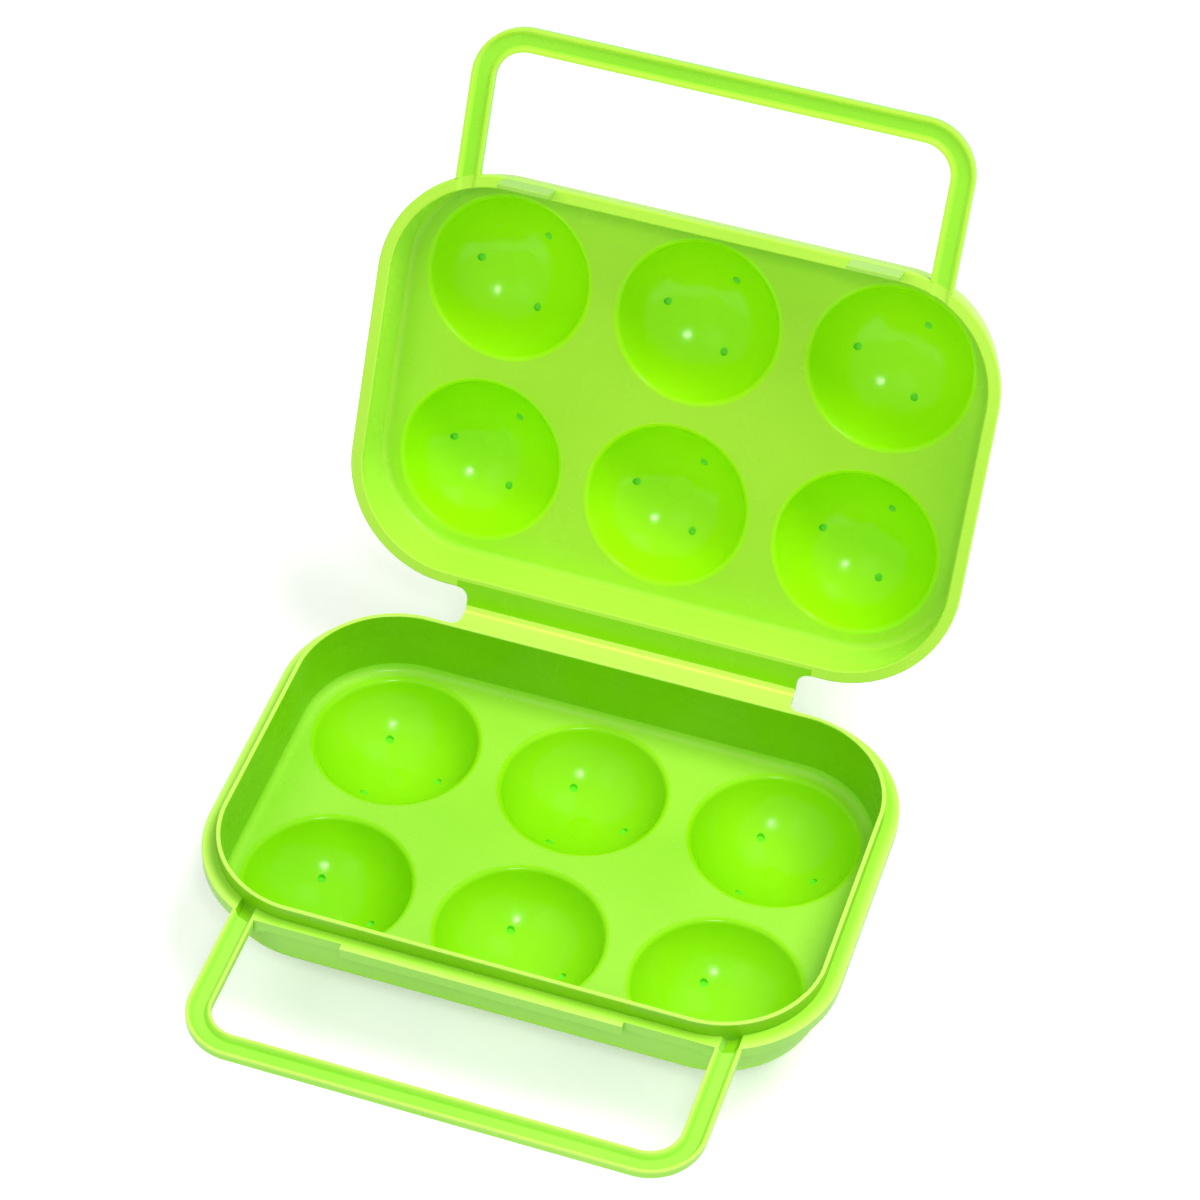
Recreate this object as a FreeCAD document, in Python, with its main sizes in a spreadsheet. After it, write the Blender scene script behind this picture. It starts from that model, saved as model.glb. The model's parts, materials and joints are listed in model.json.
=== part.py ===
"""Six-egg carrier: two trays of egg cups on a living hinge, with half handles and snap tongues."""
import FreeCAD
import Part
import math
import os
import Sketcher

# Driving dimensions in millimetres, one cell each
SIZES = (
    ("rim_length", 166.0, "outside of the rim, along the hinge"),
    ("rim_width", 112.6, "outside of the rim, from hinge side to handle side"),
    ("rim_corner", 31.0, "outside corner radius of the rim"),
    ("shell", 1.3, "thickness of walls, floors and cups"),
    ("wall_slope", 0.07, "lean of the tray walls for each millimetre of depth"),
    ("tray_depth", 15.5, "rim plane down to the top of the floor"),
    ("foot_radius", 2.0, "inside radius where a wall runs into the floor"),
    ("seam_rise", 0.5, "height of the wall's lower end above that radius"),
    ("cup_pitch_x", 51.7, "cup spacing along the hinge"),
    ("cup_pitch_y", 51.0, "cup spacing across the hinge"),
    ("cup_depth", 15.1, "top of the floor down to the inside bottom of a cup"),
    ("cup_mouth", 21.6, "inside radius of a cup where it meets the floor"),
    ("cup_foot", 3.6, "inside radius of the flat bottom of a cup"),
    ("cup_lip", 1.5, "rounding at the mouth of a cup"),
    ("cup_ring", 1.4, "flat ring of floor round the mouth of a cup"),
    ("mark_place", 11.4, "axis of a cup to each round mark in it"),
    ("mark_radius", 1.0, "radius of those marks"),
    ("mark_sink", 0.45, "depth of those marks on their own axis"),
    ("base_wall", 3.6, "rim edge to the outside of the base wall"),
    ("leaf_thickness", 1.6, "thickness of the hinge leaves and depth of the groove in the base's handle"),
    ("ledge_floor", 1.4, "thickness of the base rim's ledge under a leaf or a groove"),
    ("skirt_thickness", 1.0, "thickness of the skirt round the base rim"),
    ("skirt", 0.8, "drop of the skirt below the ledge"),
    ("lip_setback", 0.2, "outside of the base wall to the outside of the lip that it ends in"),
    ("lip_rise", 4.6, "height of that lip above the rim plane"),
    ("lip_round", 0.3, "rounding of the lip"),
    ("edge_bevel", 0.3, "bevel along the edges of both rims"),
    ("edge_round", 0.25, "rounding of the handles' grooved faces and of the tongues"),
    ("lip_clearance", 0.4, "gap between the base's wall and the closed lid's, at the rim plane"),
    ("lid_flange", 2.4, "thickness of the lid's flat rim"),
    ("lid_groove", 0.8, "depth of the groove in the lid's handle"),
    ("rim_gap", 0.3, "gap between the two rims of the closed carrier"),
    ("handle_span", 131.8, "outside width of the handle"),
    ("handle_reach", 39.4, "how far the handle stands out from the rim"),
    ("handle_bar", 6.3, "width of the handle's bar"),
    ("handle_corner", 14.5, "outside corner radius of the handle"),
    ("handle_lip", 0.8, "width of the edges beside the handle's groove"),
    ("groove_slope", 1.0, "width of each sloping side of that groove"),
    ("handle_thickness", 3.0, "thickness of each half handle"),
    ("handle_round", 0.9, "rounding of the handle's outer edges"),
    ("hinge_offset", 5.8, "rim edge to the fold line"),
    ("hinge_length", 91.0, "length of the fold line"),
    ("hinge_flare", 3.0, "radius at the ends of the hinge leaves"),
    ("flare_land", 0.4, "straight bit of leaf beyond each flare"),
    ("fold_radius", 0.8, "radius of the fold bead"),
    ("fold_clearance", 0.3, "gap between the fold bead and the lid's leaf"),
    ("leaf_setback", 0.5, "leaf ends stop this far short of the fold line"),
    ("open_angle", 115.4, "lid opening at rest, from closed"),
    ("tongue_place", 46.0, "middle of each snap tongue, from the centre"),
    ("tongue_width", 13.7, "width of a snap tongue"),
    ("tongue_thickness", 1.1, "thickness of a snap tongue"),
    ("tongue_gap", 0.3, "gap between a tongue and the base rim"),
    ("hook_reach", 0.8, "how far a tongue's hook stands in from its face"),
    ("hook_gap", 0.3, "gap between a hook and the rim that it holds"),
    ("hook_land", 0.5, "height of the blunt edge of a hook"),
    ("hook_height", 2.8, "height of a hook from its catching face to its tip"),
    ("notch_start", 36.5, "centre to the near end of each notch in the base rim"),
    ("notch_margin", 1.0, "least room in a notch beyond its tongue"),
)

# Sizes that follow from the driving dimensions
DERIVED = (
    ("half_length", "=rim_length / 2", "centre to the rim's end"),
    ("half_width", "=rim_width / 2", "centre to the rim's hinge or handle side"),
    ("base_flange", "=leaf_thickness + ledge_floor", "thickness of the base rim's ledge"),
    ("base_lip", "=base_wall + lip_setback", "rim edge to the outside of the raised lip"),
    ("lid_wall", "=base_wall - lip_clearance - shell", "rim edge to the outside of the lid wall"),
    ("seam_depth", "=tray_depth - foot_radius - seam_rise", "rim plane to the lower end of a wall"),
    ("half_height", "=tray_depth + cup_depth + shell", "rim plane to the cups' undersides"),
    ("ring_radius", "=cup_mouth + cup_ring", "outside radius of a cup's ring"),
    ("cup_rise", "=(cup_mouth ^ 2 - cup_foot ^ 2 - cup_depth ^ 2) / (2 * cup_depth)",
     "floor to the centre of a cup's round"),
    ("cup_round", "=sqrt(cup_mouth ^ 2 + cup_rise ^ 2)", "inside radius of a cup's round"),
    ("hinge_line", "=half_width + hinge_offset", "centre to the fold line"),
    ("leaf_half", "=hinge_length / 2 + hinge_flare + flare_land", "centre to the end of a leaf's seat"),
    ("bar_centre", "=handle_span / 2 - handle_bar / 2", "centre to the middle of a handle arm"),
    ("tongue_face", "=half_width - tongue_thickness", "centre to the inner face of a tongue"),
    ("notch_face", "=tongue_face - tongue_gap", "centre to the face of a notch in the base rim"),
    ("notch_end", "=max(bar_centre - handle_bar / 2; tongue_place + tongue_width / 2 + notch_margin)",
     "centre to the far end of a notch, at the handle's arm"),
    ("hook_start", "=base_flange + rim_gap + hook_gap", "lid rim to the catching face of a hook"),
)

# How a sketch refers to the points of its lines and arcs, to its own axes and to its origin
START, END, CENTRE = range(1, 4)
X_AXIS, Y_AXIS = -START, -END
ORIGIN = X_AXIS
NOTHING = 1e-6

COLUMNS = {-1: "left", 0: "middle", 1: "right"}
ROWS = {-1: "front", 1: "back"}

doc = FreeCAD.newDocument("EggCarrier")
sheet = doc.addObject("Spreadsheet::Sheet", "Dim")
for row, (alias, content, note) in enumerate(SIZES + DERIVED, 1):
    sheet.set(f"A{row}", alias)
    sheet.set(f"B{row}", str(content))
    sheet.setAlias(f"B{row}", alias)
    sheet.set(f"C{row}", note)
doc.recompute()


def number(formula):
    """The value of a formula in cells of the sheet."""
    return float(sheet.evalExpression(formula))


def new_sketch(body, name, role, height="0"):
    """A sketch on one of the body's origin planes, raised along the plane's normal."""
    sketch = body.newObject("Sketcher::SketchObject", f"{body.Label}_{name}")
    plane = next(f for f in body.Origin.OriginFeatures if f.Role == role)
    sketch.AttachmentSupport = [(plane, "")]
    sketch.MapMode = "FlatFace"
    if height != "0":
        sketch.setExpression("AttachmentOffset.Base.z", height)
    return sketch


def hold(sketch, kind, geometry, point, formula):
    """Keep a sketch point at a signed distance from the sketch's origin, along X or Y."""
    amount = number(formula)
    if abs(amount) < NOTHING:
        axis = Y_AXIS if kind == "DistanceX" else X_AXIS
        sketch.addConstraint(Sketcher.Constraint("PointOnObject", geometry, point, axis))
        return
    ends = (ORIGIN, START, geometry, point)
    if amount < 0:
        ends = (geometry, point, ORIGIN, START)
        formula = f"-({formula})"
    index = sketch.addConstraint(Sketcher.Constraint(kind, *ends, abs(amount)))
    sketch.setExpression(f"Constraints[{index}]", formula)


def hold_radius(sketch, geometry, formula):
    """Tie the radius of an arc or circle to a formula."""
    index = sketch.addConstraint(Sketcher.Constraint("Radius", geometry, number(formula)))
    sketch.setExpression(f"Constraints[{index}]", formula)


def polygon(sketch, corners):
    """A closed outline of straight lines through corners given as pairs of formulas."""
    spots = [FreeCAD.Vector(number(x), number(y), 0) for x, y in corners]
    lines = []
    for start, end in zip(spots, spots[1:] + spots[:1]):
        lines.append(sketch.addGeometry(Part.LineSegment(start, end), False))
    for before, after in zip(lines, lines[1:] + lines[:1]):
        sketch.addConstraint(Sketcher.Constraint("Coincident", before, END, after, START))
    for line, (x, y) in zip(lines, corners):
        hold(sketch, "DistanceX", line, START, x)
        hold(sketch, "DistanceY", line, START, y)


def circle(sketch, x, y, radius):
    """A circle about a point given by two formulas."""
    spot = FreeCAD.Vector(number(x), number(y), 0)
    geometry = sketch.addGeometry(Part.Circle(spot, FreeCAD.Vector(0, 0, 1), number(radius)), False)
    hold(sketch, "DistanceX", geometry, CENTRE, x)
    hold(sketch, "DistanceY", geometry, CENTRE, y)
    hold_radius(sketch, geometry, radius)


def rectangle(sketch, left, right, low, high):
    """A rectangle between four formulas."""
    polygon(sketch, [(left, low), (right, low), (right, high), (left, high)])


def rounded_path(sketch, corners, radius):
    """Lines along the axes with one arc at each turn to the left; closed if it ends where it starts."""
    spots = [FreeCAD.Vector(number(x), number(y), 0) for x, y in corners]
    bend = number(radius)
    ways = [(after - before).normalize() for before, after in zip(spots, spots[1:])]
    last = len(ways) - 1
    closed = corners[0] == corners[-1]
    lines = []
    for k, way in enumerate(ways):
        start = spots[k] + way * bend if k > 0 else spots[k]
        end = spots[k + 1] - way * bend if k < last else spots[k + 1]
        lines.append(sketch.addGeometry(Part.LineSegment(start, end), False))
    for k in range(last):
        centre = spots[k + 1] - ways[k] * bend + ways[k + 1] * bend
        first = math.atan2(-ways[k + 1].y, -ways[k + 1].x)
        whole = Part.Circle(centre, FreeCAD.Vector(0, 0, 1), bend)
        arc = sketch.addGeometry(Part.ArcOfCircle(whole, first, first + math.pi / 2), False)
        sketch.addConstraint(Sketcher.Constraint("Tangent", lines[k], END, arc, START))
        sketch.addConstraint(Sketcher.Constraint("Tangent", arc, END, lines[k + 1], START))
        hold_radius(sketch, arc, radius)
    for k, way in enumerate(ways):
        along_y = abs(way.x) < abs(way.y)
        sketch.addConstraint(Sketcher.Constraint("Vertical" if along_y else "Horizontal", lines[k]))
        if k < last or not closed:
            across = ("DistanceX", corners[k][0]) if along_y else ("DistanceY", corners[k][1])
            hold(sketch, across[0], lines[k], START, across[1])
    along = "DistanceY" if abs(ways[0].x) < abs(ways[0].y) else "DistanceX"
    hold(sketch, along, lines[0], START, corners[0][along == "DistanceY"])
    if closed:
        sketch.addConstraint(Sketcher.Constraint("Coincident", lines[last], END, lines[0], START))
    else:
        along = "DistanceY" if abs(ways[last].x) < abs(ways[last].y) else "DistanceX"
        hold(sketch, along, lines[last], END, corners[-1][along == "DistanceY"])


def rim_outline(sketch, inset="0"):
    """The rim's rounded rectangle, set in from the rim's outer edge."""
    x = f"Dim.half_length - ({inset})"
    y = f"Dim.half_width - ({inset})"
    start = (x, "0")
    turns = [(x, y), (f"-({x})", y), (f"-({x})", f"-({y})"), (x, f"-({y})")]
    rounded_path(sketch, [start, *turns, start], f"Dim.rim_corner - ({inset})")


def finish_feature(feature, settings):
    """Bind a feature's sizes to formulas and compute it."""
    for name, formula in settings.items():
        feature.setExpression(name, formula)
    doc.recompute()
    return feature


def pad(body, sketch, length, down=False, both_ways=False):
    """Thicken a sketch along its normal, against it, or half each way."""
    feature = body.newObject("PartDesign::Pad", f"{sketch.Label}_pad")
    feature.Profile = sketch
    feature.Reversed = down
    feature.SideType = "Symmetric" if both_ways else "One side"
    return finish_feature(feature, {"Length": length})


def pocket(body, sketch, depth=None, up=False):
    """Cut a sketch's outline out of the body, below the sketch unless it says up, or right through."""
    before = body.Shape.Volume
    feature = body.newObject("PartDesign::Pocket", f"{sketch.Label}_pocket")
    feature.Profile = sketch
    feature.Reversed = up
    if depth is None:
        feature.SideType = "Two sides"
        feature.Type = "ThroughAll"
        feature.Type2 = "ThroughAll"
    finish_feature(feature, {"Length": depth} if depth else {})
    if not feature.Shape.Volume < before:
        raise RuntimeError(f"{feature.Label} cuts nothing")
    return feature


def pipe(body, section, path):
    """Sweep a section sketch along a path sketch."""
    feature = body.newObject("PartDesign::AdditivePipe", f"{section.Label}_pipe")
    feature.Profile = section
    feature.Spine = (path, [])
    doc.recompute()
    return feature


def fillet(body, feature, chosen, radius):
    """Round the edges of a feature for which the function chosen is true."""
    names = [f"Edge{n}" for n, edge in enumerate(feature.Shape.Edges, 1) if chosen(edge)]
    rounded = body.newObject("PartDesign::Fillet", f"{feature.Label}_fillet")
    rounded.Base = (feature, names)
    return finish_feature(rounded, {"Radius": radius})


def near(value, formula):
    """Whether a coordinate equals a formula."""
    return abs(value - number(formula)) < NOTHING * 100


def level(edge, height):
    """Whether an edge lies flat at a height."""
    return near(edge.BoundBox.ZMin, height) and near(edge.BoundBox.ZMax, height)


def upright(edge):
    """Whether an edge stands straight up."""
    return max(edge.BoundBox.XLength, edge.BoundBox.YLength) < NOTHING


def rim_inset(point):
    """How far a point lies inside the rim's outline."""
    corner = number("Dim.rim_corner")
    x = abs(point.x) - number("Dim.half_length") + corner
    y = abs(point.y) - number("Dim.half_width") + corner
    return corner - math.hypot(max(x, 0), max(y, 0)) - min(max(x, y), 0)


def on_rim(*places):
    """Picks the edges that run round the rim at one of some pairs of inset and height."""

    def chosen(edge):
        insets = [rim_inset(point) for point in edge.discretize(5)]
        for inset, height in places:
            if level(edge, height) and all(near(value, inset) for value in insets):
                return True
        return False

    return chosen


class Half:
    """What differs between the base and the lid, both drawn with the rim plane at zero, open side up."""

    def __init__(self, name, wall, flange, frame):
        self.name = name
        self.wall = wall
        self.flange = flange
        self.frame = frame

    def wall_at(self, depth):
        """Rim edge to the outside of the wall, at a depth below the rim plane."""
        return f"{self.wall} + ({depth} - {self.flange}) * Dim.wall_slope"


def new_body(label):
    body = doc.addObject("PartDesign::Body", label)
    body.Label = label
    return body


def swept_ring(body, name, corners):
    """A section through pairs of inset and height on the right-hand side, swept round the rim."""
    section = new_sketch(body, f"{name}_section", "XZ_Plane")
    polygon(section, [(f"Dim.half_length - ({inset})", height) for inset, height in corners])
    path = new_sketch(body, f"{name}_path", "XY_Plane")
    rim_outline(path)
    return pipe(body, section, path)


def leaf_seat(body, half):
    """The cut in the rim in which a hinge leaf lies."""
    seat = new_sketch(body, "leaf_seat", "XY_Plane")
    rectangle(seat, "-Dim.leaf_half", "Dim.leaf_half",
              f"Dim.half_width - ({half.wall})", "Dim.half_width + Dim.hinge_offset")
    pocket(body, seat, "Dim.leaf_thickness")


def groove_gaps(body, groove):
    """The gaps through which the rim is open to the grooves in the handle's arms."""
    inside = "Dim.half_width - Dim.rim_corner / 2"
    gaps = new_sketch(body, "groove_gaps", "XZ_Plane", inside)
    top = "(Dim.handle_bar / 2 - Dim.handle_lip)"
    bottom = f"({top} - Dim.groove_slope)"
    for side in ("", "-"):
        polygon(gaps, [(f"{side}(Dim.bar_centre + {across})", height) for across, height in (
            (top, "Dim.edge_bevel"),
            (f"-{top}", "Dim.edge_bevel"),
            (f"-{top}", "0"),
            (f"-{bottom}", f"-{groove}"),
            (bottom, f"-{groove}"),
            (top, "0"),
        )])
    pocket(body, gaps, "Dim.rim_corner / 2 + Dim.edge_bevel", up=True)


def base_wall(half):
    """Flat ledge, raised lip and leaning wall, with openings for handle grooves, hinge and tongues."""
    body = new_body("base_wall")
    low = half.wall_at("Dim.seam_depth")
    inner = f"({half.wall} + Dim.shell)"
    skirt_bottom = "-(Dim.base_flange + Dim.skirt)"
    swept_ring(body, "rim", [
        ("0", "-Dim.edge_bevel"),
        ("0", f"{skirt_bottom} + Dim.edge_bevel"),
        ("Dim.edge_bevel", skirt_bottom),
        ("Dim.skirt_thickness", skirt_bottom),
        ("Dim.skirt_thickness", "-Dim.base_flange"),
        (half.wall, "-Dim.base_flange"),
        (low, "-Dim.seam_depth"),
        (f"{low} + Dim.shell", "-Dim.seam_depth"),
        (inner, "-Dim.base_flange"),
        (inner, "-Dim.leaf_thickness"),
        ("Dim.base_lip", "-Dim.leaf_thickness"),
        ("Dim.base_lip", "0"),
        ("Dim.edge_bevel", "0"),
    ])
    leaf_seat(body, half)
    groove_gaps(body, "Dim.leaf_thickness")
    lip = swept_ring(body, "lip", [
        ("Dim.base_lip", "-Dim.leaf_thickness"),
        (inner, "-Dim.leaf_thickness"),
        (inner, "Dim.lip_rise"),
        ("Dim.base_lip", "Dim.lip_rise"),
    ])
    fillet(body, lip, on_rim(("Dim.base_lip", "Dim.lip_rise"), (inner, "Dim.lip_rise")), "Dim.lip_round")
    notches = new_sketch(body, "notches", "XY_Plane")
    for side in ("", "-"):
        rectangle(notches, f"{side}Dim.notch_start", f"{side}Dim.notch_end",
                  "-(Dim.half_width + Dim.skirt_thickness)", "-Dim.notch_face")
    pocket(body, notches)
    return body


def lid_wall(half):
    """Flat rim and leaning wall, with a seat for the hinge leaf and gaps for the handle's groove."""
    body = new_body("lid_wall")
    low = half.wall_at("Dim.seam_depth")
    inner = f"({half.wall} + Dim.shell)"
    underside = f"-{half.flange}"
    swept_ring(body, "rim", [
        ("0", "-Dim.edge_bevel"),
        ("0", f"{underside} + Dim.edge_bevel"),
        ("Dim.edge_bevel", underside),
        (half.wall, underside),
        (low, "-Dim.seam_depth"),
        (f"{low} + Dim.shell", "-Dim.seam_depth"),
        (inner, underside),
        (inner, "-Dim.edge_bevel"),
        (f"{inner} - Dim.edge_bevel", "0"),
        ("Dim.edge_bevel", "0"),
    ])
    leaf_seat(body, half)
    groove_gaps(body, "Dim.lid_groove")
    return body


def tray_floor(half):
    """Flat floor with an upturned rounded edge and one hole for each cup."""
    body = new_body(f"{half.name}_floor")
    top = "-Dim.tray_depth"
    underside = "-(Dim.tray_depth + Dim.shell)"
    outer_top = half.wall_at("Dim.seam_depth")
    outer_low = half.wall_at("(Dim.tray_depth + Dim.shell)")
    inner_low = f"{half.wall_at('Dim.tray_depth')} + Dim.shell"
    strip = f"({inner_low} + Dim.foot_radius)"
    ring = swept_ring(body, "edge", [
        (outer_top, "-Dim.seam_depth"),
        (outer_low, underside),
        (strip, underside),
        (strip, top),
        (inner_low, top),
        (f"{outer_top} + Dim.shell", "-Dim.seam_depth"),
    ])
    ring = fillet(body, ring, on_rim((inner_low, top)), "Dim.foot_radius")
    fillet(body, ring, on_rim((outer_low, underside)), "Dim.foot_radius + Dim.shell")
    plate = new_sketch(body, "plate", "XY_Plane", top)
    rim_outline(plate, strip)
    pad(body, plate, "Dim.shell", down=True)
    holes = new_sketch(body, "cup_holes", "XY_Plane", top)
    for row in ROWS:
        for column in COLUMNS:
            circle(holes, f"{column} * Dim.cup_pitch_x", f"{row} * Dim.cup_pitch_y / 2", "Dim.ring_radius")
    pocket(body, holes, "Dim.tray_depth")
    return body


def cup_profile(profile):
    """Half of a cup's section: flat foot, outer round, ring in the floor, inner round."""
    top = "-Dim.tray_depth"
    underside = "-(Dim.tray_depth + Dim.shell)"
    bottom = "-(Dim.half_height - Dim.shell)"
    foot = "-Dim.half_height"
    middle = f"({top} + Dim.cup_rise)"
    outer_round = "(Dim.cup_round + Dim.shell)"

    def reach(height):
        """Radius of the outer round at a height."""
        return f"sqrt({outer_round} ^ 2 - ({middle} - ({height})) ^ 2)"

    corners = [
        ("0", bottom, None),
        ("0", foot, None),
        (reach(foot), foot, outer_round),
        (reach(underside), underside, None),
        ("Dim.ring_radius", underside, None),
        ("Dim.ring_radius", top, None),
        ("Dim.cup_mouth", top, "Dim.cup_round"),
        ("Dim.cup_foot", bottom, None),
    ]
    spots = [FreeCAD.Vector(number(x), number(y), 0) for x, y, _ in corners]
    centre = FreeCAD.Vector(0, number(middle), 0)
    ends = []
    for (_, _, radius), start, end in zip(corners, spots, spots[1:] + spots[:1]):
        if radius is None:
            ends.append((profile.addGeometry(Part.LineSegment(start, end), False), START, END))
            continue
        angles = sorted(math.atan2(p.y - centre.y, p.x - centre.x) for p in (start, end))
        whole = Part.Circle(centre, FreeCAD.Vector(0, 0, 1), number(radius))
        arc = profile.addGeometry(Part.ArcOfCircle(whole, *angles), False)
        profile.addConstraint(Sketcher.Constraint("PointOnObject", arc, CENTRE, Y_AXIS))
        ends.append((arc, START, END) if end.y > start.y else (arc, END, START))
    for (x, y, _), here, following in zip(corners, ends, ends[1:] + ends[:1]):
        profile.addConstraint(Sketcher.Constraint("Coincident", here[0], here[2], following[0], following[1]))
        hold(profile, "DistanceX", here[0], here[1], x)
        hold(profile, "DistanceY", here[0], here[1], y)


def egg_cup(label):
    """A round-bottomed cup with a small flat foot, a ring that fits its hole in the floor and pin marks."""
    body = new_body(label)
    profile = new_sketch(body, "profile", "XZ_Plane")
    cup_profile(profile)
    turned = body.newObject("PartDesign::Revolution", f"{label}_turned")
    turned.Profile = profile
    turned.ReferenceAxis = (profile, ["V_Axis"])
    doc.recompute()

    def mouth(edge):
        return level(edge, "-Dim.tray_depth") and near(edge.BoundBox.XMax, "Dim.cup_mouth")

    fillet(body, turned, mouth, "Dim.cup_lip")
    surface = "-Dim.tray_depth + Dim.cup_rise - sqrt(Dim.cup_round ^ 2 - Dim.mark_place ^ 2)"
    mark = new_sketch(body, "pin_mark", "XY_Plane", f"{surface} - Dim.mark_sink")
    circle(mark, "Dim.mark_place", "0", "Dim.mark_radius")
    cut = pocket(body, mark, "Dim.cup_depth", up=True)
    marks = body.newObject("PartDesign::PolarPattern", f"{label}_pin_marks")
    marks.Originals = [cut]
    marks.Axis = (mark, ["N_Axis"])
    marks.Occurrences = 3
    body.Tip = marks
    doc.recompute()
    return body


def bail_handle(half, groove):
    """A channel swept along three sides of a rectangle and trimmed to meet the rim."""
    body = new_body(f"{half.name}_handle")
    start = "-(Dim.half_width - Dim.rim_corner / 2)"
    far = "-(Dim.half_width + Dim.handle_reach - Dim.handle_bar / 2)"
    path = new_sketch(body, "path", "XY_Plane")
    rounded_path(path, [
        ("-Dim.bar_centre", start),
        ("-Dim.bar_centre", far),
        ("Dim.bar_centre", far),
        ("Dim.bar_centre", start),
    ], "Dim.handle_corner - Dim.handle_bar / 2")
    section = new_sketch(body, "section", "XZ_Plane", f"-({start})")
    left = "-(Dim.bar_centre + Dim.handle_bar / 2)"
    right = "-(Dim.bar_centre - Dim.handle_bar / 2)"
    underside = "-Dim.handle_thickness"
    polygon(section, [
        (left, "0"),
        (left, underside),
        (right, underside),
        (right, "0"),
        (f"{right} - Dim.handle_lip", "0"),
        (f"{right} - Dim.handle_lip - Dim.groove_slope", f"-{groove}"),
        (f"{left} + Dim.handle_lip + Dim.groove_slope", f"-{groove}"),
        (f"{left} + Dim.handle_lip", "0"),
    ])
    bar = pipe(body, section, path)

    def along(height):
        """Picks the long edges at a height, without the two ends of the bar."""
        return lambda edge: level(edge, height) and not (
            near(edge.BoundBox.YMin, start) and near(edge.BoundBox.YMax, start))

    bar = fillet(body, bar, along(underside), "Dim.handle_round")
    fillet(body, bar, along("0"), "Dim.edge_round")
    trim = new_sketch(body, "trim", "XY_Plane")
    rim_outline(trim)
    pocket(body, trim)
    return body


def hinge_leaf(half, clearance):
    """A flat leaf from its seat in the rim out to the fold, with flared ends and a hollow end face."""
    body = new_body(f"{half.name}_hinge_leaf")
    outline = new_sketch(body, "outline", "XY_Plane")
    inside = f"Dim.half_width - ({half.wall})"
    outside = "Dim.hinge_line - Dim.leaf_setback"
    fold_end = "Dim.hinge_length / 2"
    polygon(outline, [
        ("-Dim.leaf_half", inside),
        ("Dim.leaf_half", inside),
        ("Dim.leaf_half", "Dim.half_width"),
        (fold_end, "Dim.half_width"),
        (fold_end, outside),
        (f"-{fold_end}", outside),
        (f"-{fold_end}", "Dim.half_width"),
        ("-Dim.leaf_half", "Dim.half_width"),
    ])
    plate = pad(body, outline, "Dim.leaf_thickness", down=True)

    def step(edge):
        """The upright edges where the leaf steps in to the fold's length."""
        box = edge.BoundBox
        return upright(edge) and near(abs(box.XMin), fold_end) and near(box.YMin, "Dim.half_width")

    fillet(body, plate, step, "Dim.hinge_flare")
    hollow = new_sketch(body, "fold_hollow", "YZ_Plane")
    circle(hollow, "Dim.hinge_line", "Dim.rim_gap / 2", f"Dim.fold_radius + {clearance}")
    pocket(body, hollow)
    return body


def living_hinge():
    """The thin fold between the two leaves, as a bead about the fold line."""
    body = new_body("living_hinge")
    bead = new_sketch(body, "bead", "YZ_Plane")
    circle(bead, "Dim.hinge_line", "Dim.rim_gap / 2", "Dim.fold_radius")
    pad(body, bead, "Dim.hinge_length", both_ways=True)
    return body


def latch_tongue(label):
    """A springy tongue with an inward hook, standing on the lid's rim."""
    body = new_body(label)
    profile = new_sketch(body, "profile", "YZ_Plane")
    face = "-Dim.tongue_face"
    back = "-Dim.half_width"
    tip = "Dim.hook_start + Dim.hook_height"
    nose = f"{face} + Dim.hook_reach"
    polygon(profile, [
        (back, "0"),
        (face, "0"),
        (face, "Dim.hook_start"),
        (nose, "Dim.hook_start"),
        (nose, "Dim.hook_start + Dim.hook_land"),
        (face, tip),
        (back, tip),
    ])
    tongue = pad(body, profile, "Dim.tongue_width", both_ways=True)

    def outer(edge):
        """The edges of the outer face, without its root."""
        on_face = near(edge.BoundBox.YMin, back) and near(edge.BoundBox.YMax, back)
        return on_face and not level(edge, "0")

    fillet(body, tongue, outer, "Dim.edge_round")
    return body


def shift(x=0.0, y=0.0, z=0.0):
    return FreeCAD.Placement(FreeCAD.Vector(x, y, z), FreeCAD.Rotation())


def turn(axis, angle):
    return FreeCAD.Placement(FreeCAD.Vector(), FreeCAD.Rotation(FreeCAD.Vector(*axis), angle))


def lid_frame():
    """The lid's place: turned over on to the base, then swung open about the fold line."""
    rim_height = number("Dim.half_height")
    gap = number("Dim.rim_gap")
    fold = shift(y=number("Dim.hinge_line"), z=rim_height + gap / 2)
    swing = fold * turn((1, 0, 0), -number("Dim.open_angle")) * fold.inverse()
    return swing * shift(z=rim_height + gap) * turn((0, 1, 0), 180)


def place(body, frame, x=0.0, y=0.0):
    """Put a piece at a spot of its half's frame."""
    body.Placement = frame * shift(x, y)
    return body


def build_half(half, wall, groove, clearance, mirrored):
    """Wall, floor, cups, half handle and hinge leaf of one half; mirrored swaps left and right."""
    pieces = [
        place(wall(half), half.frame),
        place(tray_floor(half), half.frame),
        place(bail_handle(half, groove), half.frame),
        place(hinge_leaf(half, clearance), half.frame),
    ]
    for row, row_name in ROWS.items():
        for column, column_name in COLUMNS.items():
            x = (-column if mirrored else column) * number("Dim.cup_pitch_x")
            cup = egg_cup(f"{half.name}_cup_{row_name}_{column_name}")
            pieces.append(place(cup, half.frame, x, row * number("Dim.cup_pitch_y") / 2))
    return pieces


def build():
    base = Half("base", "Dim.base_wall", "Dim.base_flange", shift(z=number("Dim.half_height")))
    lid = Half("lid", "Dim.lid_wall", "Dim.lid_flange", lid_frame())
    pieces = build_half(base, base_wall, "Dim.leaf_thickness", "0", False)
    pieces.append(place(living_hinge(), base.frame))
    pieces += build_half(lid, lid_wall, "Dim.lid_groove", "Dim.fold_clearance", True)
    for side, name in ((1, "left"), (-1, "right")):
        tongue = latch_tongue(f"latch_tongue_{name}")
        pieces.append(place(tongue, lid.frame, side * number("Dim.tongue_place")))
    return pieces


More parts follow.
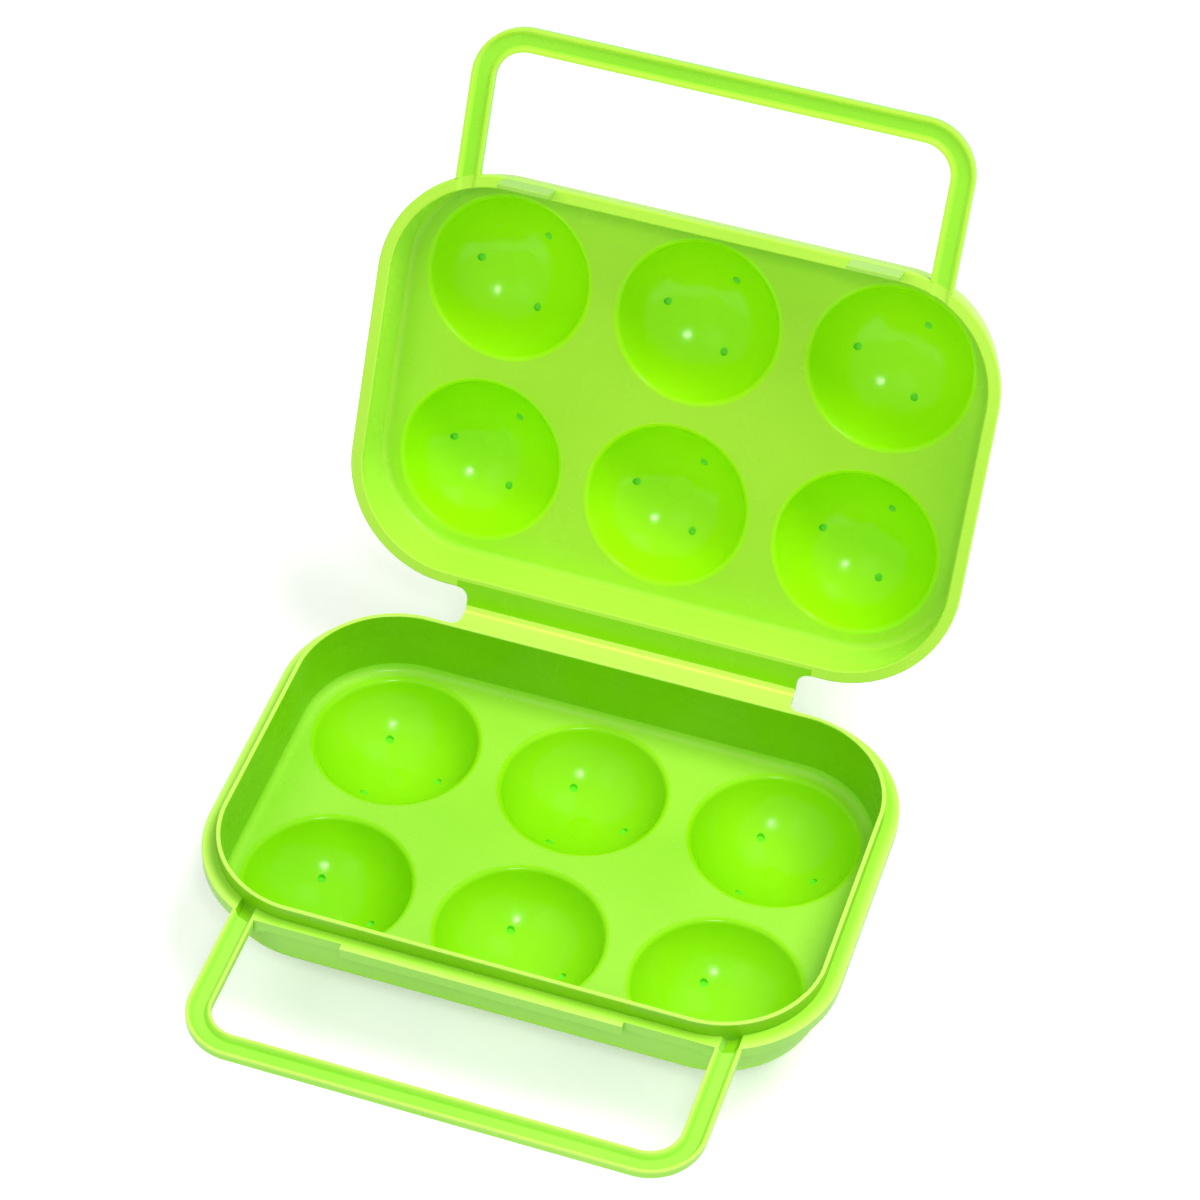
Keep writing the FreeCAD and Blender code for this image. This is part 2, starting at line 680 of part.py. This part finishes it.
def export(pieces):
    """Check every object of the document, then write one file for each piece."""
    doc.recompute()
    failed = [o.Label for o in doc.Objects if {"Invalid", "Error"} & set(o.State)]
    for piece in pieces:
        shape = piece.Shape
        if shape.isNull() or not shape.isValid() or len(shape.Solids) != 1:
            failed.append(piece.Label)
    if failed:
        raise RuntimeError(f"failed: {', '.join(failed)}")
    os.makedirs("parts", exist_ok=True)
    for piece in pieces:
        piece.Shape.exportStep(os.path.join("parts", f"{piece.Label}.step"))
        box = piece.Shape.BoundBox
        print(f"{piece.Label}: {piece.Shape.Volume:.1f} mm3, "
              f"{box.XLength:.1f} x {box.YLength:.1f} x {box.ZLength:.1f} mm")


export(build())
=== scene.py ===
"""Lime-green egg carrier, lid open, on a plain pale floor in soft studio light."""
import json
import math

import bmesh
import bpy
from mathutils import Matrix, Vector


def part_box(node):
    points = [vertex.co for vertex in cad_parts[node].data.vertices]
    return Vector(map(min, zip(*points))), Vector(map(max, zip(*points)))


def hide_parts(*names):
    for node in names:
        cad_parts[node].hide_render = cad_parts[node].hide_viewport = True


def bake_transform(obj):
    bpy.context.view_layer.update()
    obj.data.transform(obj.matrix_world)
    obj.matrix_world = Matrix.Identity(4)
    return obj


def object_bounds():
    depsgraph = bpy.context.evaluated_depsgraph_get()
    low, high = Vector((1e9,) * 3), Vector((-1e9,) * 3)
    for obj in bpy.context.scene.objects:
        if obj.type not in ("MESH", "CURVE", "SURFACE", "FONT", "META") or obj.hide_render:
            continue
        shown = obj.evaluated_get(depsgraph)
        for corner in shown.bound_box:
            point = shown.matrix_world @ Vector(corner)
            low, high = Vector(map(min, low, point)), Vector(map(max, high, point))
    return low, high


MM = 0.001

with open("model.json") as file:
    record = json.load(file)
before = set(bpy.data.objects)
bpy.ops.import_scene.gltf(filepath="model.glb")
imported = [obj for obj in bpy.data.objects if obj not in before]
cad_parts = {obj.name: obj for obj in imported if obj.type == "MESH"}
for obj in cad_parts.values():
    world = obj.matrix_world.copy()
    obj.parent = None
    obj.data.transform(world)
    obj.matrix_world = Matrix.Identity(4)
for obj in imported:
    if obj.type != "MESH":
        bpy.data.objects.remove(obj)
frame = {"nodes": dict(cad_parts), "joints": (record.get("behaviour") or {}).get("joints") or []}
CAD_LOW, CAD_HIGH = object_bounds()
joints = {joint["name"]: joint for joint in frame["joints"]}

# Camera, found from the outlines of both rims, both handles and the hinge line: place, lens and sensor in
# millimetres, and the nearest distance it sees in metres
CAMERA_EYE = (195.9, -621.6, 794.8)
CAMERA_RIGHT = (0.950, 0.311, 0.025)
CAMERA_UP = (-0.241, 0.682, 0.691)
CAMERA_LENS = 118.7
SENSOR = 36.0
CLIP_NEAR = 0.01

# The fold line, and for each half the way its open side faces and the two directions across it
HINGE = joints["lid_hinge"]
FOLD = Vector(HINGE["pos_m"])
OPENING = math.radians(-HINGE["range_deg"][0])
BASE_UP = Vector((0.0, 0.0, 1.0))
LID_UP = Vector((0.0, -math.sin(OPENING), -math.cos(OPENING)))
BASE_PLANE = (Vector((1.0, 0.0, 0.0)), Vector((0.0, 1.0, 0.0)))
LID_PLANE = (Vector((-1.0, 0.0, 0.0)), Vector((0.0, math.cos(OPENING), -math.sin(OPENING))))

# Living hinge strip, in millimetres: how far its middle lies from the fold line, half its thickness and the reach of
# its two legs, then the steps along a leg and round the bend, and the angle past which its edges stay sharp
FILM_MIDDLE = 0.36
FILM_HALF = 0.25
BASE_LEG = 1.0
LID_LEG = 1.35
LEG_STEPS = 3
FILM_STEPS = 10
SHARP_ANGLE = math.radians(40)

# The cups' grid: its pitch, and how far its middle lies from the fold line, in millimetres
CUP_PITCH = (51.7, 51.0)
GRID_MIDDLE = FOLD.y / MM

# In each cup, in millimetres and degrees: how far the round marks lie from its axis, their turns, where their painted
# shade fades out and the depths below the fold line that they lie between, and the depth above which level faces are
# its ring
MARK_PLACE = 11.4
MARK_TURNS = (0.0, 120.0, 240.0)
MARK_SOFT = (0.5, 1.4)
MARK_DEPTH = (26.5, 29.0)
RING_DEPTH = 16.0

# The gap that the closed rims leave, half the rim's length and width, and its corner radius, in millimetres
RIM_GAP = 0.3
RIM_HALF = (83.0, 56.3)
RIM_CORNER = 31.0

# Faces of the base's rim within this height of the rim plane belong to its ledge, which goes over its width from
# painted shade by the lip to painted light at the rim's outline, in millimetres
LEDGE_EDGE = 0.35
LEDGE_WIDTH = 2.4

# Share of a face's normal along its half's upward direction: more than LEVEL in level faces, less than UPRIGHT in
# upright ones, and more than LEDGE_FACING in those of the ledge
LEVEL = 0.999
UPRIGHT = 0.02
LEDGE_FACING = 0.5

# Heights from the rim plane in millimetres, and how much painted light lies there: 0 as in the rest of the piece, 1 as
# the painted glow at a thin edge or lit top; RIM_SPAN is how far such heights can reach either way
RIM_GLOW = ((-1.0, 0.0), (-0.1, 1.0))
LIP_GLOW = ((4.1, 0.0), (4.4, 1.0))
# The lid floor's rounded foot: the lid wall's painted light carried down on to it
TRAY_FOOT_LIGHT = ((-15.4, 0.0), (-14.6, 1.0))
RIM_SPAN = 20.0

# Colours of the plastic, some with painted light or shade in them as noted below, each as two shades that it drifts
# between, and the shares of the drift where these lie
BASE_LEAF = ((0.29, 0.73, 0.002, 1.0), (0.34, 0.79, 0.005, 1.0))
BASE_FLOOR = ((0.32, 0.76, 0.035, 1.0), (0.37, 0.81, 0.05, 1.0))
# The base's inner walls: darker, as painted shade
BASE_WALL_SHADE = ((0.20, 0.56, 0.002, 1.0), (0.23, 0.62, 0.004, 1.0))
BASE_CUP = ((0.26, 0.74, 0.002, 1.0), (0.31, 0.80, 0.005, 1.0))
LEDGE = ((0.36, 0.82, 0.04, 1.0), (0.41, 0.86, 0.05, 1.0))
OUTSIDE = ((0.33, 0.74, 0.07, 1.0), (0.36, 0.78, 0.09, 1.0))
BASE_HANDLE = ((0.34, 0.83, 0.05, 1.0), (0.39, 0.87, 0.07, 1.0))
LID_FLOOR = ((0.38, 0.82, 0.022, 1.0), (0.43, 0.87, 0.032, 1.0))
# The lid's inner walls: paler, as painted light
LID_WALL_LIT = ((0.49, 0.91, 0.06, 1.0), (0.52, 0.93, 0.07, 1.0))
# The lid's cups: the plastic's colour brightened as a painted glow of light through the thin cups
LID_CUP_GLOW = ((0.35, 0.93, 0.001, 1.0), (0.42, 0.96, 0.003, 1.0))
LID_HANDLE = ((0.27, 0.85, 0.015, 1.0), (0.31, 0.89, 0.025, 1.0))
# The lid's hinge leaf: darker, as painted shade
LID_LEAF_SHADE = ((0.24, 0.70, 0.002, 1.0), (0.28, 0.75, 0.004, 1.0))
TONGUE = ((0.35, 0.70, 0.08, 1.0), (0.40, 0.75, 0.10, 1.0))
# The round marks in the cups: real dimples, darkened with painted shade
MARK_SHADE = ((0.13, 0.76, 0.012, 1.0), (0.16, 0.82, 0.018, 1.0))
# The fold line: a pale painted highlight along the bend
FOLD_HIGHLIGHT = ((0.70, 0.97, 0.13, 1.0), (0.76, 0.98, 0.16, 1.0))
DRIFT_STOPS = (0.35, 0.65)

# Painted light: the glow at its thin edges and lit rim and lip tops, and the pale outer side of the base's ledge
EDGE_GLOW = (0.58, 0.95, 0.12, 1.0)
# The outer side of the base's ledge: paler, as painted light
LEDGE_RIM_LIGHT = (0.64, 0.96, 0.16, 1.0)
LID_EDGE_GLOW = (0.52, 0.94, 0.06, 1.0)

# Its surface, in general and in the cups: range of roughness, strength of the waves and of the reflections
GLOSS, CUP_GLOSS = (0.20, 0.32), (0.13, 0.22)
WAVES, CUP_WAVES = 0.07, 0.22
SHINE, CUP_SHINE = 0.5, 0.35
REFRACTION = 1.49

# Colour drift, flow waves and grain, in repeats per metre, with how much the flow outweighs the grain and the height
# of both in millimetres
DRIFT_SCALE = 22.0
FLOW_SCALE = 120.0
GRAIN_SCALE = 1400.0
FLOW_WEIGHT = 40.0
RELIEF = 0.02

# Strength of the even light from the sky, and how much the floor is brightened where it is seen directly, between
# two distances from the part in metres
SKY = 0.42
FLOOR_REACH = (0.4, 1.4)
FLOOR_GLOW = (0.36, 0.62)

# The floor: half its width and how far it lies below the part, in metres, its two shades, where they lie in its clouds,
# the clouds' repeats per metre, and its surface
FLOOR_HALF = 6.0
FLOOR_DROP = 0.0002
FLOOR_SHADES = ((0.90, 0.90, 0.89, 1.0), (0.93, 0.93, 0.925, 1.0))
FLOOR_STOPS = (0.3, 0.7)
FLOOR_CLOUDS = 3.0
FLOOR_ROUGHNESS = 0.9
FLOOR_SHINE = 0.1
WHITE = (1.0, 1.0, 1.0, 1.0)

# The lamps: name, place, what it faces and width in metres, power in watts, and whether it shows in reflections
LAMPS = (
    ("key", (0.45, 0.25, 1.20), (0.0, 0.05, 0.06), 0.60, 11.0, False),
    ("fill", (-0.45, -0.75, 0.95), (0.0, 0.03, 0.05), 0.60, 3.0, False),
    ("front", (0.32, -0.69, 1.06), (0.0, 0.10, 0.09), 0.16, 2.2, True),
)


def link(obj):
    """The object, once it is part of the scene."""
    bpy.context.scene.collection.objects.link(obj)
    return obj


class Nodes:
    """A small helper that makes shader nodes and joins them."""

    def __init__(self, tree):
        self.tree = tree

    def add(self, kind, settings=None, **inputs):
        node = self.tree.nodes.new(kind)
        for key, value in (settings or {}).items():
            setattr(node, key, value)
        for key, value in inputs.items():
            self.set(node, key.replace("_", " "), value)
        return node

    def set(self, node, name, value):
        socket = node.inputs[name]
        if isinstance(value, bpy.types.NodeSocket):
            self.tree.links.new(value, socket)
        else:
            socket.default_value = value


def blank_material(name):
    """A material without nodes, and the helper to fill it with."""
    material = bpy.data.materials.new(name)
    material.use_nodes = True
    material.node_tree.nodes.clear()
    return material, Nodes(material.node_tree)


def ramp(nodes, factor, stops):
    """A colour ramp through (place, colour) stops."""
    node = nodes.add("ShaderNodeValToRGB", Fac=factor)
    elements = node.color_ramp.elements
    elements[0].position, elements[0].color = stops[0]
    elements[1].position, elements[1].color = stops[-1]
    for place, colour in stops[1:-1]:
        element = elements.new(place)
        element.color = colour
    return node.outputs["Color"]


def level(nodes, value, low, high):
    """Map 0..1 on to low..high."""
    node = nodes.add("ShaderNodeMapRange")
    nodes.set(node, "Value", value)
    nodes.set(node, "To Min", low)
    nodes.set(node, "To Max", high)
    return node.outputs["Result"]


def from_fold(nodes, place, way):
    """Distance from the fold line along a direction."""
    offset = nodes.add("ShaderNodeVectorMath", {"operation": "SUBTRACT"})
    nodes.set(offset, 0, place)
    nodes.set(offset, 1, FOLD)
    reach = nodes.add("ShaderNodeVectorMath", {"operation": "DOT_PRODUCT"})
    nodes.set(reach, 0, offset.outputs["Vector"])
    nodes.set(reach, 1, way)
    return reach.outputs["Value"]


def light_by_height(up, stops=RIM_GLOW):
    """Painted light that follows the height above a half's rim plane."""
    def paleness(nodes, place):
        share = nodes.add("ShaderNodeMapRange", From_Min=-(RIM_SPAN + RIM_GAP / 2) * MM,
                          From_Max=(RIM_SPAN - RIM_GAP / 2) * MM)
        nodes.set(share, "Value", from_fold(nodes, place, up))
        return ramp(nodes, share.outputs["Result"],
                    [(0.5 + z / RIM_SPAN / 2, (pale, pale, pale, 1.0)) for z, pale in stops])
    return paleness


def ledge_shade_to_light(nodes, place):
    """Share of painted light over painted shade on the base's ledge: 0 at its inner side and 1 at the rim's outline, at
    any height.
    """
    middle = nodes.add("ShaderNodeVectorMath", {"operation": "ABSOLUTE"})
    nodes.set(middle, 0, place)
    past = nodes.add("ShaderNodeVectorMath", {"operation": "SUBTRACT"})
    nodes.set(past, 0, middle.outputs["Vector"])
    nodes.set(past, 1, Vector(((RIM_HALF[0] - RIM_CORNER) * MM, (RIM_HALF[1] - RIM_CORNER) * MM, 1.0)))
    corner = nodes.add("ShaderNodeVectorMath", {"operation": "MAXIMUM"})
    nodes.set(corner, 0, past.outputs["Vector"])
    nodes.set(corner, 1, Vector((0.0, 0.0, 0.0)))
    reach = nodes.add("ShaderNodeVectorMath", {"operation": "LENGTH"})
    nodes.set(reach, 0, corner.outputs["Vector"])
    share = nodes.add("ShaderNodeMapRange", From_Min=(RIM_CORNER - LEDGE_WIDTH) * MM, From_Max=RIM_CORNER * MM)
    nodes.set(share, "Value", reach.outputs["Value"])
    return share.outputs["Result"]


def round_mark_shade(nodes, place, plane):
    """Where painted shade goes: 1 at the three marks of every cup of a half and 0 away from them, with soft edges."""
    spot = nodes.add("ShaderNodeCombineXYZ")
    starts = (0.0, CUP_PITCH[1] / 2 - GRID_MIDDLE)
    for socket, way, pitch, start in zip("XY", plane, CUP_PITCH, starts):
        wrap = nodes.add("ShaderNodeMath", {"operation": "WRAP"})
        nodes.set(wrap, 0, from_fold(nodes, place, way))
        nodes.set(wrap, 1, (start + pitch / 2) * MM)
        nodes.set(wrap, 2, (start - pitch / 2) * MM)
        centred = nodes.add("ShaderNodeMath", {"operation": "SUBTRACT"})
        nodes.set(centred, 0, wrap.outputs["Value"])
        nodes.set(centred, 1, start * MM)
        nodes.set(spot, socket, centred.outputs["Value"])
    nearest = None
    for turn in MARK_TURNS:
        angle = math.radians(turn)
        gap = nodes.add("ShaderNodeVectorMath", {"operation": "DISTANCE"})
        nodes.set(gap, 0, spot.outputs["Vector"])
        nodes.set(gap, 1, Vector((math.cos(angle), math.sin(angle), 0.0)) * MARK_PLACE * MM)
        if nearest is None:
            nearest = gap.outputs["Value"]
            continue
        least = nodes.add("ShaderNodeMath", {"operation": "MINIMUM"})
        nodes.set(least, 0, nearest)
        nodes.set(least, 1, gap.outputs["Value"])
        nearest = least.outputs["Value"]
    fade = nodes.add("ShaderNodeMapRange", {"interpolation_type": "SMOOTHSTEP"}, From_Min=MARK_SOFT[0] * MM,
                     From_Max=MARK_SOFT[1] * MM, To_Min=1.0, To_Max=0.0)
    nodes.set(fade, "Value", nearest)
    return fade.outputs["Result"]


def blend(nodes, share, first, second):
    """A mix of two colours."""
    mix = nodes.add("ShaderNodeMix", {"data_type": "RGBA"})
    nodes.set(mix, 0, share)
    nodes.set(mix, 6, first)
    nodes.set(mix, 7, second)
    return mix.outputs[2]


def moulded_plastic(name, shades, edge=None, pale=None, plane=None, gloss=GLOSS, waves=WAVES, shine=SHINE):
    """Glossy polypropylene: slow colour drift, faint flow waves and grain, painted light, and painted shade at marks.
    """
    material, nodes = blank_material(name)
    place = nodes.add("ShaderNodeTexCoord").outputs["Object"]
    drift = nodes.add("ShaderNodeTexNoise", Vector=place, Scale=DRIFT_SCALE, Detail=2.0, Roughness=0.5)
    colour = ramp(nodes, drift.outputs["Fac"], list(zip(DRIFT_STOPS, shades)))
    # Painted light: the paleness mask blends in the pale glow colour
    if edge is not None:
        colour = blend(nodes, pale(nodes, place), colour, edge)
    # Painted shade blended in round the cup marks
    if plane is not None:
        colour = blend(nodes, round_mark_shade(nodes, place, plane), colour, MARK_SHADE[1])
    grain = nodes.add("ShaderNodeTexNoise", Vector=place, Scale=GRAIN_SCALE, Detail=3.0, Roughness=0.6)
    flow = nodes.add("ShaderNodeTexNoise", Vector=place, Scale=FLOW_SCALE, Detail=2.0, Roughness=0.5)
    height = nodes.add("ShaderNodeMath", {"operation": "MULTIPLY_ADD"})
    nodes.set(height, 0, flow.outputs["Fac"])
    nodes.set(height, 1, FLOW_WEIGHT)
    nodes.set(height, 2, grain.outputs["Fac"])
    bump = nodes.add("ShaderNodeBump", Strength=waves, Distance=RELIEF * MM, Height=height.outputs["Value"])
    shader = nodes.add("ShaderNodeBsdfPrincipled")
    nodes.set(shader, "Base Color", colour)
    nodes.set(shader, "Roughness", level(nodes, flow.outputs["Fac"], *gloss))
    nodes.set(shader, "IOR", REFRACTION)
    nodes.set(shader, "Specular IOR Level", shine)
    nodes.set(shader, "Normal", bump.outputs["Normal"])
    output = nodes.add("ShaderNodeOutputMaterial")
    nodes.set(output, "Surface", shader.outputs["BSDF"])
    return material


def living_hinge_strip(material):
    """The thin strip that joins the two leaves and bends about the fold line."""
    _, fold_y, fold_z = FOLD
    low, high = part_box("living_hinge")
    bend = math.pi - OPENING
    middle = []
    normals = []
    for k in range(LEG_STEPS):
        middle.append((-BASE_LEG * (1 - k / LEG_STEPS), -FILM_MIDDLE))
        normals.append((0.0, -1.0))
    for k in range(FILM_STEPS + 1):
        angle = -math.pi / 2 + bend * k / FILM_STEPS
        normal = (math.cos(angle), math.sin(angle))
        middle.append((FILM_MIDDLE * normal[0], FILM_MIDDLE * normal[1]))
        normals.append(normal)
    end, normal = middle[-1], normals[-1]
    along = (-normal[1], normal[0])
    for k in range(1, LEG_STEPS + 1):
        reach = LID_LEG * k / LEG_STEPS
        middle.append((end[0] + along[0] * reach, end[1] + along[1] * reach))
        normals.append(normal)
    mesh = bmesh.new()
    rings = []
    for x in (low.x, high.x):
        outer = [(m[0] + n[0] * FILM_HALF, m[1] + n[1] * FILM_HALF) for m, n in zip(middle, normals)]
        inner = [(m[0] - n[0] * FILM_HALF, m[1] - n[1] * FILM_HALF) for m, n in zip(middle, normals)]
        rings.append([mesh.verts.new((x, fold_y + y * MM, fold_z + z * MM)) for y, z in outer + inner[::-1]])
    count = len(rings[0])
    for k in range(count):
        mesh.faces.new((rings[0][k], rings[0][(k + 1) % count], rings[1][(k + 1) % count], rings[1][k]))
    half = count // 2
    for ring in rings:
        for k in range(half - 1):
            mesh.faces.new((ring[k], ring[k + 1], ring[count - 2 - k], ring[count - 1 - k]))
    bmesh.ops.recalc_face_normals(mesh, faces=mesh.faces)
    data = bpy.data.meshes.new("living_hinge_strip")
    mesh.to_mesh(data)
    mesh.free()
    data.shade_smooth()
    data.set_sharp_from_angle(angle=SHARP_ANGLE)
    strip = link(bpy.data.objects.new("living_hinge_strip", data))
    data.materials.append(material)
    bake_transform(strip)
    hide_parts("living_hinge")
    return strip


def dress_cup(cup, up, materials):
    """Three materials for a cup: its own colour inside (a painted glow in the lid's), painted shade in its marks, the
    floor's elsewhere.
    """
    for material in materials:
        cup.data.materials.append(material)
    near, far = MARK_DEPTH
    for face in cup.data.polygons:
        facing = face.normal.dot(up)
        depth = (FOLD - face.center).dot(up) / MM
        if near < depth < far and (facing > LEVEL or abs(facing) < UPRIGHT):
            face.material_index = 1
        elif facing < 0 or (depth < RING_DEPTH and facing > LEVEL):
            face.material_index = 2


def dress_nodes():
    """Materials for every solid, by the half it belongs to and what it is."""
    base = moulded_plastic("lime_base", BASE_LEAF, EDGE_GLOW, light_by_height(BASE_UP))
    lid = moulded_plastic("lime_lid", LID_HANDLE, LID_EDGE_GLOW, light_by_height(LID_UP))
    special = {
        "base_wall": moulded_plastic("lime_base_wall_shade", BASE_WALL_SHADE, EDGE_GLOW, light_by_height(BASE_UP, LIP_GLOW)),
        "base_floor": moulded_plastic("lime_base_floor", BASE_FLOOR),
        "base_handle": moulded_plastic("lime_base_handle", BASE_HANDLE, EDGE_GLOW, light_by_height(BASE_UP)),
        "lid_wall": moulded_plastic("lime_lid_wall_lit", LID_WALL_LIT),
        "lid_floor": moulded_plastic("lime_lid_floor", LID_FLOOR, LID_WALL_LIT[0], light_by_height(LID_UP, TRAY_FOOT_LIGHT)),
        "lid_hinge_leaf": moulded_plastic("lime_lid_leaf_shade", LID_LEAF_SHADE),
    }
    bowl = {"gloss": CUP_GLOSS, "waves": CUP_WAVES, "shine": CUP_SHINE}
    base_cup = moulded_plastic("lime_base_cup", BASE_CUP, plane=BASE_PLANE, **bowl)
    lid_cup = moulded_plastic("lime_lid_cup", LID_CUP_GLOW, plane=LID_PLANE, **bowl)
    mark = moulded_plastic("lime_mark_shade", MARK_SHADE)
    tongue = moulded_plastic("lime_tongue", TONGUE)
    special.update((name, tongue) for name in ("latch_tongue_left", "latch_tongue_right"))
    for name, node in frame["nodes"].items():
        upper = name.startswith(("lid", "latch"))
        node.data.materials.clear()
        if "_cup_" in name:
            dress_cup(node, LID_UP if upper else BASE_UP,
                      (lid_cup, mark, special["lid_floor"]) if upper else (base_cup, mark, special["base_floor"]))
        else:
            node.data.materials.append(special.get(name, lid if upper else base))
    # The base wall's inner faces keep its painted shade, its ledge faces take the ledge's colours, and its outer faces
    # their own
    wall = frame["nodes"]["base_wall"]
    wall.data.materials.append(moulded_plastic("lime_ledge", LEDGE, LEDGE_RIM_LIGHT, ledge_shade_to_light))
    wall.data.materials.append(moulded_plastic("lime_outside", OUTSIDE))
    for face in wall.data.polygons:
        height = (face.center - FOLD).dot(BASE_UP) / MM + RIM_GAP / 2
        if abs(height) < LEDGE_EDGE and face.normal.dot(BASE_UP) > LEDGE_FACING:
            face.material_index = 1
        elif height < 0 and face.normal.xy.dot(face.center.xy) > 0:
            face.material_index = 2


def studio():
    """Pale floor, three soft lamps and an even white sky."""
    material, floor_nodes = blank_material("pale_floor")
    place = floor_nodes.add("ShaderNodeTexCoord").outputs["Object"]
    cloud = floor_nodes.add("ShaderNodeTexNoise", Vector=place, Scale=FLOOR_CLOUDS, Detail=2.0)
    colour = ramp(floor_nodes, cloud.outputs["Fac"], list(zip(FLOOR_STOPS, FLOOR_SHADES)))
    surface = floor_nodes.add("ShaderNodeBsdfPrincipled")
    floor_nodes.set(surface, "Base Color", colour)
    floor_nodes.set(surface, "Roughness", FLOOR_ROUGHNESS)
    floor_nodes.set(surface, "Specular IOR Level", FLOOR_SHINE)
    seen = floor_nodes.add("ShaderNodeLightPath").outputs["Is Camera Ray"]
    floor_nodes.set(surface, "Emission Color", WHITE)
    away = floor_nodes.add("ShaderNodeVectorMath", {"operation": "LENGTH"})
    floor_nodes.set(away, 0, place)
    glow = floor_nodes.add("ShaderNodeMapRange", From_Min=FLOOR_REACH[0], From_Max=FLOOR_REACH[1],
                           To_Min=FLOOR_GLOW[0], To_Max=FLOOR_GLOW[1])
    floor_nodes.set(glow, "Value", away.outputs["Value"])
    floor_nodes.set(surface, "Emission Strength", level(floor_nodes, seen, 0.0, glow.outputs["Result"]))
    output = floor_nodes.add("ShaderNodeOutputMaterial")
    floor_nodes.set(output, "Surface", surface.outputs["BSDF"])
    data = bpy.data.meshes.new("floor")
    corners = [(x * FLOOR_HALF, y * FLOOR_HALF, 0) for x, y in ((-1, -1), (1, -1), (1, 1), (-1, 1))]
    data.from_pydata(corners, [], [(0, 1, 2, 3)])
    data.materials.append(material)
    floor = link(bpy.data.objects.new("floor", data))
    floor.location.z = CAD_LOW.z - FLOOR_DROP
    for name, spot, target, width, power, glint in LAMPS:
        lamp = bpy.data.lights.new(name, "AREA")
        lamp.shape = "SQUARE"
        lamp.size = width
        lamp.energy = power
        obj = link(bpy.data.objects.new(name, lamp))
        obj.location = spot
        obj.rotation_mode = "QUATERNION"
        obj.rotation_quaternion = (Vector(target) - Vector(spot)).to_track_quat("-Z", "Y")
        obj.visible_glossy = glint
    world = bpy.data.worlds.new("sky")
    bpy.context.scene.world = world
    world.use_nodes = True
    sky_nodes = Nodes(world.node_tree)
    seen = sky_nodes.add("ShaderNodeLightPath").outputs["Is Camera Ray"]
    sky = world.node_tree.nodes["Background"]
    sky_nodes.set(sky, "Color", WHITE)
    sky_nodes.set(sky, "Strength", level(sky_nodes, seen, SKY, 1.0))


def camera():
    """The camera, with its up direction squared to its right one."""
    data = bpy.data.cameras.new("camera")
    data.lens = CAMERA_LENS
    data.sensor_width = SENSOR
    data.clip_start = CLIP_NEAR
    right = Vector(CAMERA_RIGHT).normalized()
    up = Vector(CAMERA_UP)
    up = (up - right * up.dot(right)).normalized()
    back = right.cross(up)
    obj = link(bpy.data.objects.new("camera", data))
    turn = Matrix((right, up, back)).transposed().to_4x4()
    obj.matrix_world = Matrix.Translation(Vector(CAMERA_EYE) * MM) @ turn
    bpy.context.scene.camera = obj


bpy.context.scene.view_settings.view_transform = "Standard"
dress_nodes()
living_hinge_strip(moulded_plastic("lime_fold_highlight", FOLD_HIGHLIGHT))
studio()
camera()
